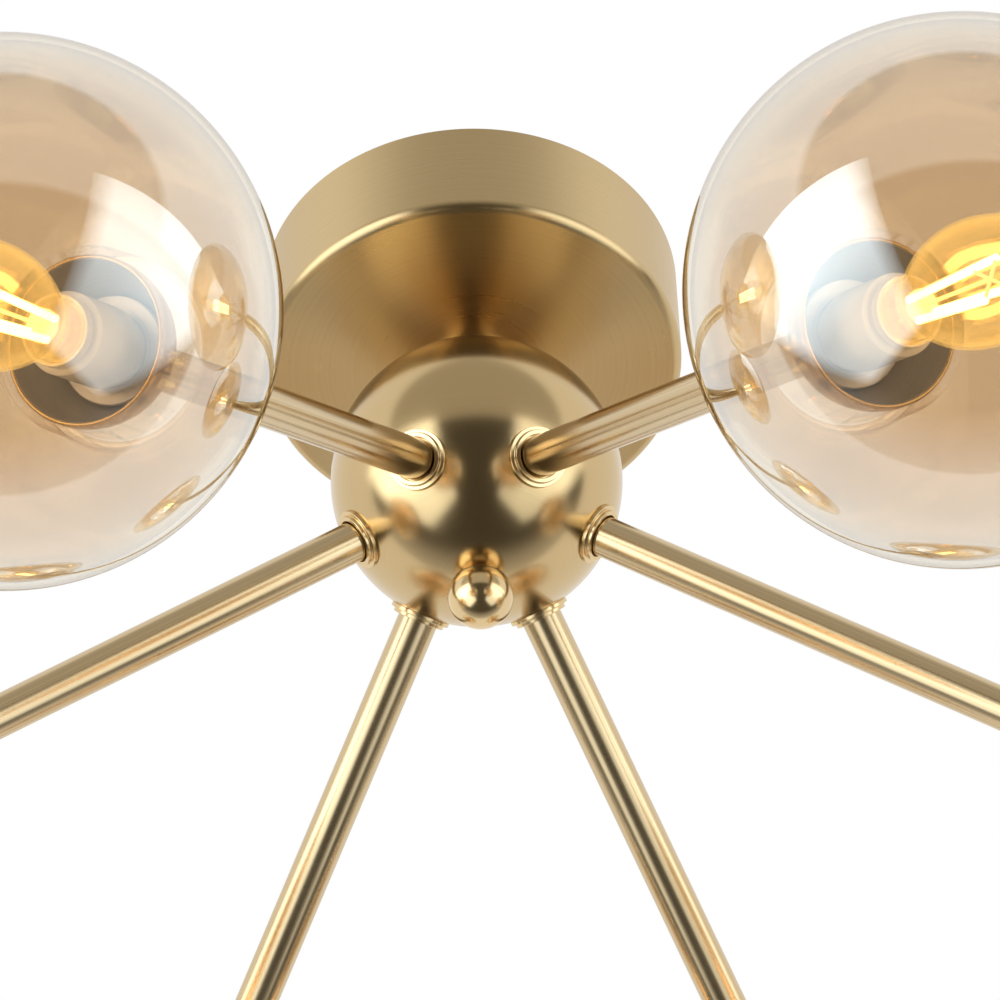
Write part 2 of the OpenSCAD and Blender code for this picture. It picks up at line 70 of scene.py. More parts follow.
# Noise seldom leaves the range from NOISE_LOW to NOISE_HIGH.
NOISE_DETAIL = 3.0
NOISE_LOW = 0.3
NOISE_HIGH = 0.7

# The soft boxes stand round the hub, and the floor lies below their feet.
LAMP_DISTANCE = 1.2
LAMP_TOP = 0.08
LAMP_FOOT = -2.3
LAMP_WATTS_PER_AREA = 4
FLOOR_HEIGHT = -2.4
FLOOR_RADIUS = 5.0


# Sizes and colours

def length_property(name, description, default):
    """A length in metres, shown in the scene's units."""
    return FloatProperty(name=name, description=description, default=default, min=0.0, unit="LENGTH",
                         subtype="DISTANCE", precision=5)


def colour_property(name, description, default):
    """A linear colour."""
    return FloatVectorProperty(name=name, description=description, default=default, size=3, min=0.0, max=1.0,
                               subtype="COLOR")


class CeilingLightSizes(PropertyGroup):
    """The sizes that give the light its form."""

    canopy_radius: length_property("Canopy radius", "Outer radius of the canopy on the ceiling", 0.063)
    canopy_height: length_property("Canopy height", "From the ceiling to the canopy's flat face", 0.037)
    canopy_edge: length_property("Canopy edge", "Radius of the round between the canopy's side and face", 0.003)
    canopy_wall: length_property("Canopy wall", "Thickness of the canopy's sheet", 0.0012)
    hub_drop: length_property("Hub drop", "From the ceiling to the middle of the ball hub", 0.088)
    hub_radius: length_property("Hub radius", "Radius of the ball hub", 0.043)
    hub_seat: length_property("Hub seat", "From the hub's middle to the flats the arms stand on", 0.042)
    finial_radius: length_property("Finial radius", "Radius of the small ball under the hub", 0.0095)
    finial_drop: length_property("Finial drop", "From the ceiling to the middle of the finial ball", 0.13843)
    arm_radius: length_property("Arm radius", "Outer radius of the arm tubes", 0.006)
    arm_end: length_property("Arm end", "From the hub's middle to the shoulder behind the lamp cup", 0.22562)
    arm_tilt: FloatProperty(name="Arm tilt", description="Angle between an arm and straight up",
                            default=radians(125), unit="ROTATION", subtype="ANGLE")
    cup_radius: length_property("Cup radius", "Outer radius of the half-round lamp cups", 0.0225)
    cup_wall: length_property("Cup wall", "Thickness of the lamp cups' sheet", 0.0012)
    cup_centre: length_property("Cup centre", "From the hub's middle to the middle of a cup's round", 0.247)
    cup_floor: length_property("Cup floor", "From the hub's middle to the flat floor inside a cup", 0.2283)
    cup_mouth: length_property("Cup mouth", "From the hub's middle to a cup's rim", 0.25)
    holder_mouth: length_property("Lampholder mouth", "From the hub's middle to a lampholder's mouth", 0.2618)
    bulb_start: length_property("Bulb start", "From the hub's middle to the back of a bulb's collar", 0.26205)
    globe_radius: length_property("Globe radius", "Outer radius of the glass globes", 0.07)
    globe_wall: length_property("Globe wall", "Thickness of the globes' glass", 0.002)
    globe_reach: length_property("Globe reach", "From the hub's middle to a globe's middle", 0.293)


class CeilingLightColours(PropertyGroup):
    """The colours of the light's finishes."""

    satin_gold: colour_property("Satin gold", "Spun and satin-finished sheet of the canopy and hub",
                                (0.62, 0.455, 0.235))
    brushed_gold: colour_property("Brushed gold", "Arm tubes, brushed along their length", (0.65, 0.50, 0.295))
    polished_gold: colour_property("Polished gold", "Finial ball and collars", (0.76, 0.57, 0.31))
    cup_lining: colour_property("Cup lining", "Bright inside of the lamp cups", (0.60, 0.59, 0.60))
    holder_white: colour_property("Lampholder white", "Glazed lampholders", (0.86, 0.85, 0.81))
    bulb_collar: colour_property("Bulb collar", "Moulded collars of the bulbs", (0.84, 0.81, 0.73))
    amber_tint: colour_property("Amber tint", "What a globe's glass lets through", (1.0, 0.80, 0.58))
    mirror_tint: colour_property("Mirror tint", "What the globes' half mirror throws back", (0.87, 0.97, 1.0))
    filament: colour_property("Filament", "Light of the filament rods", (1.0, 0.70, 0.22))
    steel: colour_property("Steel", "Zinc-plated bracket, stem and nuts", (0.55, 0.55, 0.53))
    brass: colour_property("Brass", "Earth screw", (0.76, 0.58, 0.27))
    block: colour_property("Terminal block", "Moulded terminal block", (0.80, 0.79, 0.74))
    insulation: colour_property("Lead insulation", "Soft covering of the leads", (0.70, 0.68, 0.62))
    floor: colour_property("Floor", "Plain pale floor", (0.84, 0.83, 0.82))


def settings(context):
    """The sizes and the colours that the sidebar shows."""
    return context.scene.ceiling_light_sizes, context.scene.ceiling_light_colours


# Materials

def fill(node, inputs):
    """Fill a node's sockets with values or with links from other nodes' sockets."""
    for socket, value in inputs.items():
        if isinstance(value, bpy.types.NodeSocket):
            node.id_data.links.new(value, node.inputs[socket])
        else:
            node.inputs[socket].default_value = value


def add_node(tree, kind, inputs=None, **options):
    """Add a node, set its options and fill its sockets."""
    node = tree.nodes.new(kind)
    for option, value in options.items():
        setattr(node, option, value)
    fill(node, inputs or {})
    return node


def start_material(name):
    """A new material with its node tree and its Principled shader."""
    material = bpy.data.materials.new(name)
    material.use_nodes = True
    tree = material.node_tree
    return material, tree, tree.nodes["Principled BSDF"]


def shade(colour, factor=1.0):
    """A lighter or darker version of a colour, with full alpha."""
    return (*(min(1.0, channel * factor) for channel in colour), 1.0)


def grey(level):
    """A grey with full alpha."""
    return (level, level, level, 1.0)


def object_noise(tree, scale):
    """Noise that stays on the piece, read at its object coordinates."""
    coordinates = add_node(tree, "ShaderNodeTexCoord")
    noise = add_node(tree, "ShaderNodeTexNoise", {"Vector": coordinates.outputs["Object"], "Scale": scale,
                                                  "Detail": NOISE_DETAIL})
    return noise.outputs["Fac"]


def turned_noise(tree, across, around):
    """Noise read on the turned UV map: across the brush lines and around the piece."""
    turned = add_node(tree, "ShaderNodeUVMap", uv_map=TURNED_MAP)
    mapping = add_node(tree, "ShaderNodeMapping", {"Vector": turned.outputs["UV"], "Scale": (around, across, 1)})
    noise = add_node(tree, "ShaderNodeTexNoise", {"Vector": mapping.outputs["Vector"], "Scale": 1.0,
                                                  "Detail": NOISE_DETAIL})
    return noise.outputs["Fac"]


def maths(tree, operation, *values):
    """The result of an operation on values or links."""
    return add_node(tree, "ShaderNodeMath", dict(enumerate(values)), operation=operation).outputs["Value"]


def remap(tree, value, start, end, low=0.0, high=1.0):
    """A value carried from the range start to end into the range low to high, and held inside it."""
    node = add_node(tree, "ShaderNodeMapRange", {"Value": value, "From Min": start, "From Max": end, "To Min": low,
                                                 "To Max": high})
    return node.outputs["Result"]


def spread(tree, noise, low, high):
    """Noise spread over a range of values."""
    return remap(tree, noise, NOISE_LOW, NOISE_HIGH, low, high)


def ramp(tree, factor, low, high, start=NOISE_LOW, end=NOISE_HIGH):
    """A colour ramp between two colours."""
    node = add_node(tree, "ShaderNodeValToRGB", {"Fac": factor})
    for element, position, colour in zip(node.color_ramp.elements, (start, end), (low, high)):
        element.position = position
        element.color = colour
    return node.outputs["Color"]


def level_ramp(tree, factor, stops):
    """A ramp through grey levels, given as (position, level) pairs from position 0 to position 1."""
    levels = ramp(tree, factor, grey(stops[0][1]), grey(stops[-1][1]), 0.0, 1.0)
    for position, level in stops[1:-1]:
        levels.node.color_ramp.elements.new(position).color = grey(level)
    return levels


def mix_colours(tree, factor, first, second, blend="MIX"):
    """A blend of two colours, each a value or a link."""
    node = add_node(tree, "ShaderNodeMix", {"Factor": factor, "A": first, "B": second}, data_type="RGBA",
                    blend_type=blend)
    return node.outputs["Result"]


def mix_shaders(tree, factor, first, second):
    """Give a material's surface a mix of two shader nodes."""
    mix = add_node(tree, "ShaderNodeMixShader", {0: factor, 1: first.outputs["BSDF"], 2: second.outputs["BSDF"]})
    fill(tree.nodes["Material Output"], {"Surface": mix.outputs["Shader"]})


def bump(tree, height, strength, distance):
    """A bump from a height."""
    return add_node(tree, "ShaderNodeBump", {"Height": height, "Strength": strength,
                                             "Distance": distance}).outputs["Normal"]


def brushed_metal(name, colour, roughness, anisotropy, across, around=0.0, contrast=0.10, metallic=1.0):
    """Metal with fine parallel brush lines that follow the turned UV map."""
    material, tree, shader = start_material(name)
    lines = turned_noise(tree, across, around)
    cloud = object_noise(tree, 28.0)
    # The product of two noises lies about a quarter below either of them, so it is lifted back into their range.
    clouded = maths(tree, "MULTIPLY_ADD", lines, cloud, 0.25)
    quarter_turn = 0.25
    tangent = add_node(tree, "ShaderNodeTangent", direction_type="UV_MAP", uv_map=TURNED_MAP)
    fill(shader, {
        "Base Color": ramp(tree, lines, shade(colour, 1 - contrast), shade(colour, 1 + contrast)),
        "Metallic": metallic,
        "Roughness": spread(tree, clouded, roughness * 0.85, roughness * 1.15),
        "Anisotropic": anisotropy,
        "Anisotropic Rotation": quarter_turn,
        "Tangent": tangent.outputs["Tangent"],
    })
    return material


def polished_metal(name, colour, roughness, haze=0.04):
    """Bright metal with faint polishing haze."""
    material, tree, shader = start_material(name)
    tone = object_noise(tree, 60.0)
    smears = object_noise(tree, 240.0)
    scratches = object_noise(tree, 420.0)
    fill(shader, {
        "Base Color": ramp(tree, tone, shade(colour, 0.97), shade(colour, 1.03)),
        "Metallic": 1.0,
        "Roughness": spread(tree, smears, roughness, roughness + haze),
        "Normal": bump(tree, scratches, strength=0.04, distance=0.00002),
    })
    return material


def moulded(name, colour, roughness, coat=0.0, grain=900.0):
    """Moulded or glazed surface with a faint grain and slight change of tone."""
    material, tree, shader = start_material(name)
    tone = object_noise(tree, 45.0)
    sheen = object_noise(tree, 130.0)
    fill(shader, {
        "Base Color": ramp(tree, tone, shade(colour, 0.96), shade(colour, 1.02)),
        "Roughness": spread(tree, sheen, roughness * 0.9, roughness * 1.1),
        "Coat Weight": coat,
        "Coat Roughness": 0.08,
        "Normal": bump(tree, object_noise(tree, grain), strength=0.08, distance=0.00003),
    })
    return material


def shell_glass(name, tint, mirror, facing, rim, edge_tint, glow=0.0):
    """Thin glass: a clear tinted sheet under a partly mirrored face, darker where the wall is seen edge on.

    The mirror's share grows from facing, where the wall is seen straight on, to rim, where it is seen edge on.
    """
    material, tree, shader = start_material(name)
    angle = add_node(tree, "ShaderNodeLayerWeight", {"Blend": 0.5}).outputs["Facing"]
    ripples = object_noise(tree, 14.0)
    smudges = object_noise(tree, 30.0)
    # The wall's edge tones come in over the last fifth of the way to edge on.
    mirror_tone = ramp(tree, ripples, shade(mirror, 0.97), shade(mirror))
    mirror_edge = ramp(tree, angle, grey(1.0), shade(edge_tint, 0.6), 0.78, 1.0)
    clear_tone = ramp(tree, angle, shade(tint), shade(edge_tint), 0.80, 1.0)
    fill(shader, {
        "Base Color": mix_colours(tree, 1.0, mirror_tone, mirror_edge, "MULTIPLY"),
        "Metallic": 1.0,
        "Roughness": spread(tree, smudges, 0.0, 0.03),
        # Emission by glow is a painted glow: the glass emits as if lit by the filaments inside it.
        "Emission Color": (1.0, 0.76, 0.27, 1.0),
        "Emission Strength": glow,
    })
    clear = add_node(tree, "ShaderNodeBsdfTransparent", {"Color": clear_tone})
    grazing = maths(tree, "POWER", angle, 2.0)
    mix_shaders(tree, remap(tree, grazing, 0.0, 1.0, facing, rim), clear, shader)
    return material


def glowing_rod(name, colour, strength):
    """A glowing rod: white hot in the middle and warmer towards its edges. On a filament it is the lamp's own light;
    on the lead wire it is a painted glow.
    """
    material, tree, shader = start_material(name)
    white_hot = (1.0, 0.86, 0.55, 1.0)
    angle = add_node(tree, "ShaderNodeLayerWeight", {"Blend": 0.35}).outputs["Facing"]
    fill(shader, {
        "Base Color": shade(colour),
        "Roughness": 0.5,
        "Normal": bump(tree, object_noise(tree, 1500.0), strength=0.2, distance=0.0001),
        "Emission Color": ramp(tree, angle, white_hot, shade(colour), 0.2, 0.9),
        "Emission Strength": strength,
    })
    return material


# Turned pieces

def arc(centre_r, centre_z, radius, start, end, steps):
    """Points on an arc in the turning plane, with angles in degrees from the radial axis."""
    angles = [radians(start + (end - start) * k / steps) for k in range(steps + 1)]
    return [(centre_r + radius * cos(a), centre_z + radius * sin(a)) for a in angles]


def ring_outline(inner, outer, start, end):
    """Outline of a plain ring, or of a plain rod where the inner radius is 0."""
    return [(inner, start), (outer, start), (outer, end), (inner, end)]


def arm_place(sizes, number):
    """The frame of an arm: its Z axis runs out from the hub's centre along the arm."""
    around = radians(360 / len(ARMS) * (number - 1))
    return (Matrix.Translation((0, 0, -sizes.hub_drop)) @ Matrix.Rotation(around, 4, "Z")
            @ Matrix.Rotation(sizes.arm_tilt, 4, "Y"))


def moved(bm, place):
    """A shape moved to its place."""
    bmesh.ops.transform(bm, matrix=place, verts=bm.verts[:])
    return bm


def map_turned(bm, along=False):
    """Give a shape its turned UV map: the angle about the Z axis, and the height plus radius in centimetres."""
    layer = bm.loops.layers.uv.new(TURNED_MAP)
    for face in bm.faces:
        middle = face.calc_center_median()
        middle_angle = atan2(middle.y, middle.x)
        for loop in face.loops:
            spot = loop.vert.co
            radius = sqrt(spot.x ** 2 + spot.y ** 2)
            turn = middle_angle
            if radius > ON_AXIS:
                turn = atan2(spot.y, spot.x)
                turn += tau * round((middle_angle - turn) / tau)
            run = (spot.z + radius) * 100
            loop[layer].uv = (run, turn / tau) if along else (turn / tau, run)


def turn_outline(outline, steps, soften=EDGE_SOFTENING, along=False):
    """Spin a closed outline of (radius, height) points about Z, soften its corners and give it its UV map."""
    bm = bmesh.new()
    verts = [bm.verts.new((r, 0, z)) for r, z in outline]
    # An edge on the axis would turn into no face, so it is left out.
    edges = [bm.edges.new(pair) for pair in zip(verts, verts[1:] + verts[:1])
             if max(pair[0].co.x, pair[1].co.x) > ON_AXIS]
    bmesh.ops.spin(bm, geom=verts + edges, cent=(0, 0, 0), axis=(0, 0, 1), angle=tau, steps=steps, use_merge=True)
    bmesh.ops.remove_doubles(bm, verts=bm.verts[:], dist=ON_AXIS)
    bmesh.ops.recalc_face_normals(bm, faces=bm.faces[:])
    corners = [e for e in bm.edges if len(e.link_faces) == 2 and e.calc_face_angle(0) > SHARP_EDGE]
    if soften and corners:
        bmesh.ops.bevel(bm, geom=corners, offset=soften, offset_type="OFFSET", segments=3, profile=0.5,
                        affect="EDGES", clamp_overlap=True, material=-1)
    map_turned(bm, along)
    for face in bm.faces:
        face.smooth = True
    return bm


def join_shapes(shapes):
    """One bmesh from several (bmesh, place) pairs."""
    whole = bmesh.new()
    for shape, place in shapes:
        mesh = bpy.data.meshes.new("part")
        moved(shape, place).to_mesh(mesh)
        shape.free()
        whole.from_mesh(mesh)
        bpy.data.meshes.remove(mesh)
    return whole


def add_piece(name, bm, body, materials, replaced):
    """Make a finished piece from a bmesh: it rides a body, stands for CAD nodes and takes a material slot."""
    mesh = bpy.data.meshes.new(name)
    bm.to_mesh(mesh)
    bm.free()
    for material in materials:
        mesh.materials.append(material)
    piece = bpy.data.objects.new(name, mesh)
    bpy.context.scene.collection.objects.link(piece)
    weighted = piece.modifiers.new("Even shading", "WEIGHTED_NORMAL")
    weighted.weight = 60
    weighted.keep_sharp = True
    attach(piece, body)
    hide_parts(*replaced)


def finish_node(name, material):
    """Give a CAD node that stays as it is a better material."""
    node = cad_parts.get(name)
    if node is None:
        raise RuntimeError("no CAD node " + name)
    for slot in node.material_slots:
        slot.material = material


class CEILING_LIGHT_OT_canopy(Operator):
    """Add the spun canopy and its neck collar"""

    bl_idname = "ceiling_light.add_canopy"
    bl_label = "Add Canopy"

    def execute(self, context):
        sizes, colours = settings(context)
        spun = brushed_metal("spun_satin_gold", colours.satin_gold, roughness=0.30, anisotropy=0.82, across=9.0,
                             contrast=0.035)
        for name, outline, steps, replaced in (
                ("canopy_shell", self.canopy(sizes), 160, "canopy"),
                ("neck_collar_turned", self.collar(sizes), 96, "neck_collar")):
            add_piece(name, turn_outline(outline, steps), "light_frame", [spun], [replaced])
        return {"FINISHED"}

    def canopy(self, sizes):
        """Outline of the spun canopy, open towards the ceiling."""
        face = -sizes.canopy_height
        outer = sizes.canopy_radius
        edge = sizes.canopy_edge
        wall = sizes.canopy_wall
        hole = 0.0053
        return ([(hole, face)] + arc(outer - edge, face + edge, edge, -90, 0, 10) + [(outer, 0), (outer - wall, 0)]
                + arc(outer - edge, face + edge, edge - wall, 0, -90, 8) + [(hole, face + wall)])

    def collar(self, sizes):
        """Outline of the neck collar: a flange under the canopy, hollowed down to a waist on the hub."""
        top = -sizes.canopy_height
        foot = -sizes.hub_drop + sizes.hub_seat
        flange = 0.0135
        waist = 0.009
        hollow = 0.003
        under = top - 0.0018
        return ([(TUBE_HOLE, top), (flange, top), (flange, under)]
                + arc(waist + hollow, under - hollow, hollow, 90, 180, 8) + [(waist, foot), (TUBE_HOLE, foot)])


class CEILING_LIGHT_OT_hub(Operator):
    """Add the ball hub with its flats, and the finial ball under it"""

    bl_idname = "ceiling_light.add_hub"
    bl_label = "Add Hub and Finial"

    def execute(self, context):
        sizes, colours = settings(context)
        satin = brushed_metal("ball_satin_gold", colours.satin_gold, roughness=0.19, anisotropy=0.42, across=14.0,
                              contrast=0.03)
        add_piece("hub_ball_turned", self.ball(sizes), "light_frame", [satin], ["hub_ball"])
        polished = polished_metal("polished_gold", colours.polished_gold, roughness=0.16)
        add_piece("finial_turned", self.finial(sizes), "finial_ball", [polished], ["finial"])
        return {"FINISHED"}

    def ball(self, sizes):
        """The hub: a ball with flats for the neck collar, the finial and the arms."""
        middle = Vector((0, 0, -sizes.hub_drop))
        bottom_flat_r = 0.006
        bottom = sqrt(sizes.hub_radius ** 2 - bottom_flat_r ** 2)
        upwards = Vector((0, 0, 1))
        flats = [(upwards, sizes.hub_seat), (-upwards, bottom)]
        flats += [(arm_place(sizes, number).to_3x3() @ upwards, sizes.hub_seat) for number in ARMS]
        bm = bmesh.new()
        bmesh.ops.create_uvsphere(bm, u_segments=144, v_segments=96, radius=sizes.hub_radius)
        moved(bm, Matrix.Translation(middle))
        for normal, depth in flats:
            cut = bmesh.ops.bisect_plane(bm, geom=bm.verts[:] + bm.edges[:] + bm.faces[:], dist=1e-7,
                                         plane_co=middle + normal * depth, plane_no=normal, clear_outer=True)
            rim = [e for e in cut["geom_cut"] if isinstance(e, bmesh.types.BMEdge)]
            bmesh.ops.contextual_create(bm, geom=rim)
        bmesh.ops.remove_doubles(bm, verts=bm.verts[:], dist=2e-6)
        bmesh.ops.recalc_face_normals(bm, faces=bm.faces[:])
        map_turned(bm)
        # Only the flats have more than five corners: they stay flat, and their rims sharp.
        for face in bm.faces:
            face.smooth = len(face.verts) <= 5
        for edge in bm.edges:
            edge.smooth = all(face.smooth for face in edge.link_faces)
        return bm

    def finial(self, sizes):
        """The finial ball with the stud that screws up into the hub."""
        radius = sizes.finial_radius
        stud_r = 0.003
        stud_foot = 0.0076
        stud_end = stud_foot + 0.009
        outline = (arc(0, 0, radius, -90, degrees(asin(stud_foot / radius)), 40)
                   + [(stud_r, stud_foot), (stud_r, stud_end), (0, stud_end)])
        return moved(turn_outline(outline, steps=72, soften=0.00015), Matrix.Translation((0, 0, -sizes.finial_drop)))


class CEILING_LIGHT_OT_arms(Operator):
    """Add the six brushed arm tubes and the stepped collars at the hub"""

    bl_idname = "ceiling_light.add_arms"
    bl_label = "Add Arms"

    def execute(self, context):
        sizes, colours = settings(context)
        brushed = brushed_metal("brushed_gold", colours.brushed_gold, roughness=0.21, anisotropy=0.6, across=84.0,
                                around=0.012, contrast=0.12)
        for number in ARMS:
            bm = moved(turn_outline(self.tube(sizes), steps=64, soften=0.00015, along=True), arm_place(sizes, number))
            add_piece("arm_tube_%d" % number, bm, "light_frame", [brushed], ["arm_%d" % number])
        polished = polished_metal("collar_gold", colours.polished_gold, roughness=0.18, haze=0.08)
        ring = self.collar(sizes)
        shapes = [(turn_outline(ring, steps=72, soften=0.0002), arm_place(sizes, number)) for number in ARMS]
        add_piece("arm_collars_turned", join_shapes(shapes), "light_frame", [polished],
                  ["arm_collars"])
        return {"FINISHED"}

    def tube(self, sizes):
        """Outline of an arm: a tube with a spigot into the hub and a longer one through the lamp cup."""
        start = sizes.hub_seat
        end = sizes.arm_end
        outer = sizes.arm_radius
        spigot = 0.005
        bore = 0.0036
        hub_end = start - 0.0046
        cup_end = end + 0.01208
        return [(bore, hub_end), (spigot, hub_end), (spigot, start), (outer, start), (outer, end), (spigot, end),
                (spigot, cup_end), (bore, cup_end)]

    def collar(self, sizes):
        """Outline of a stepped collar, which leaves a thin gap round the tube."""
        start = sizes.hub_seat
        hole = 0.00645
        wide = 0.009
        narrow = 0.0078
        step = start + 0.0013
        end = step + 0.0012
        return [(hole, start), (wide, start), (wide, step), (narrow, step), (narrow, end), (hole, end)]


class CEILING_LIGHT_OT_cups(Operator):
    """Add the six half-round lamp cups with their ring nuts"""

    bl_idname = "ceiling_light.add_cups"
    bl_label = "Add Lamp Cups"

    def execute(self, context):
        sizes, colours = settings(context)
        outside = brushed_metal("cup_satin_gold", colours.satin_gold, roughness=0.24, anisotropy=0.6, across=12.0,
                                contrast=0.05)
        lining = brushed_metal("cup_lining", colours.cup_lining, roughness=0.33, anisotropy=0.4, across=16.0,
                               contrast=0.08, metallic=0.45)
        nut = ring_outline(inner=0.00985, outer=0.0145, start=0.23165, end=0.23465)
        nuts = []
        for number in ARMS:
            place = arm_place(sizes, number)
            add_piece("lamp_cup_%d_spun" % number, moved(self.cup(sizes), place), "light_frame",
                      [outside, lining], ["lamp_cup_%d" % number])
            nuts.append((turn_outline(nut, steps=72, soften=0.0004), place))
        add_piece("cup_ring_nuts_turned", join_shapes(nuts), "light_frame", [lining],
                  ["cup_ring_nuts"])
        return {"FINISHED"}

    def cup(self, sizes):
        """A half-round cup with a rolled rim, and the lining's material on the faces inside it."""
        outer = sizes.cup_radius
        inner = outer - sizes.cup_wall
        roll = sizes.cup_wall / 2
        centre = sizes.cup_centre
        back = degrees(asin((sizes.arm_end - centre) / outer))
        floor = degrees(asin((sizes.cup_floor - centre) / inner))
        outline = ([(TUBE_HOLE, sizes.arm_end)] + arc(0, centre, outer, back, 0, 28)
                   + arc(outer - roll, sizes.cup_mouth - roll, roll, 0, 180, 8) + arc(0, centre, inner, 0, floor, 28)
                   + [(TUBE_HOLE, sizes.cup_floor)])
        bm = turn_outline(outline, steps=112, soften=0.0002)
        lining_reach = inner + 0.0002
        lining_start = sizes.cup_floor - 0.0004
        for face in bm.faces:
            spot = face.calc_center_median()
            from_centre = Vector((spot.x, spot.y, min(0.0, spot.z - centre))).length
            face.material_index = 1 if from_centre < lining_reach and spot.z > lining_start else 0
        return bm


class CEILING_LIGHT_OT_lampholders(Operator):
    """Add the six small white lampholders"""

    bl_idname = "ceiling_light.add_lampholders"
    bl_label = "Add Lampholders"

    def execute(self, context):
        sizes, colours = settings(context)
        glazed = moulded("lampholder_white", colours.holder_white, roughness=0.3, coat=0.5)
        for number in ARMS:
            bm = moved(turn_outline(self.holder(sizes), steps=72, soften=0.0003), arm_place(sizes, number))
            add_piece("lampholder_%d_glazed" % number, bm, "light_frame", [glazed],
                      ["lampholder_%d" % number])
        return {"FINISHED"}

    def holder(self, sizes):
        """Outline of a lampholder: a base for the ring nut, a wider shell, and a well for the bulb's cap."""
        floor = sizes.cup_floor
        mouth = sizes.holder_mouth
        base = 0.0098
        base_end = floor + 0.01
        spigot_end = floor + 0.0098
        shell = 0.011
        chamfer = 0.001
        well = 0.00708
        well_floor = mouth - 0.02225
        return [(TUBE_HOLE, floor), (base, floor), (base, base_end), (shell, base_end + 0.0012),
                (shell, mouth - chamfer), (shell - chamfer, mouth), (well, mouth), (well, well_floor),
                (0.0, well_floor), (0.0, spigot_end), (TUBE_HOLE, spigot_end)]


def envelope_outline(neck_end, inset):
    """Outline of a candle bulb's glass, from its neck to its tip, moved inwards by a wall thickness."""
    neck_r = 0.0086
    widest_r = 0.0165
    tip_r = 0.003
    side_curve = 0.05
    rise = 0.038
    widest = neck_end + rise
    turn = 2 * atan2(widest_r - neck_r, rise)
    neck_curve = rise / sin(turn) - side_curve
    side_r = widest_r - side_curve
    tip_height = sqrt((side_curve - tip_r) ** 2 - side_r ** 2)
    tip_angle = degrees(atan2(tip_height, -side_r))
    lower = arc(neck_r + neck_curve, neck_end, neck_curve + inset, 180, 180 - degrees(turn), 14)
    upper = arc(side_r, widest, side_curve - inset, -degrees(turn), tip_angle, 40)
    cap = arc(0, widest + tip_height, tip_r - inset, tip_angle, 90, 8)
    return [(neck_r - inset, neck_end - BULB_SEAT_DEPTH)] + lower + upper[1:] + cap[1:]


